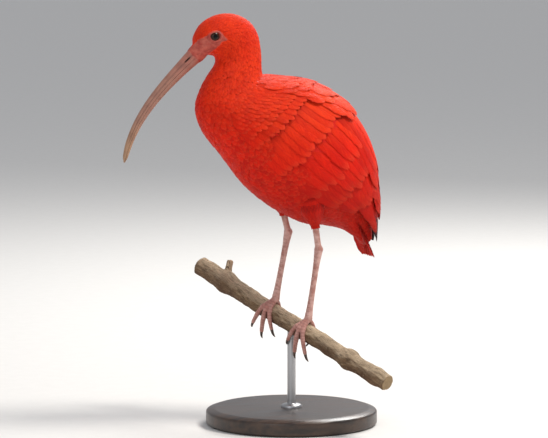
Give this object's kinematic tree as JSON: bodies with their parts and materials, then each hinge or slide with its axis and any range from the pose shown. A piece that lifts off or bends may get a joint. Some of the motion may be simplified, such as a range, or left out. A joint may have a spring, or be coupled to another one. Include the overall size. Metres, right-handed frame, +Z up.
{
  "type": "scarlet ibis",
  "caption": "Life-size still model of a scarlet ibis, hunched on a cut length of branch with its long curved bill hanging, held by a plain rod and round base",
  "frame": {"origin": "centre of the underside of the stand's round base", "axes": "+Z up; the bird faces -X and its plane of symmetry is XZ, so its left side faces -Y; the branch slopes down toward -Y"},
  "size_m": [0.288, 0.2666, 0.4417],
  "materials": {
    "plumage": "matt feathers",
    "bill": "horn, satin",
    "bare_skin": "scaly bare skin, matt",
    "eye": "dark, polished",
    "claw": "horn, satin",
    "bark": "rough bark",
    "dark_wood": "satin",
    "steel": "satin"
  },
  "bodies": {
    "root": {"head": "plumage", "neck_upper": "plumage", "neck_lower": "plumage", "torso": "plumage", "wing_left": "plumage", "wing_right": "plumage", "tail": "plumage", "thigh_left": "plumage", "thigh_right": "plumage", "bill_upper": "bill", "bill_lower": "bill", "eye_left": "eye", "eye_right": "eye", "tibia_left": "bare_skin", "tarsus_left": "bare_skin", "foot_left": "bare_skin", "claw_left_1": "claw", "claw_left_2": "claw", "claw_left_3": "claw", "claw_left_4": "claw", "tibia_right": "bare_skin", "tarsus_right": "bare_skin", "foot_right": "bare_skin", "claw_right_1": "claw", "claw_right_2": "claw", "claw_right_3": "claw", "claw_right_4": "claw", "perch": "bark", "stand_rod": "steel", "stand_base": "dark_wood"}
  },
  "joints": []
}
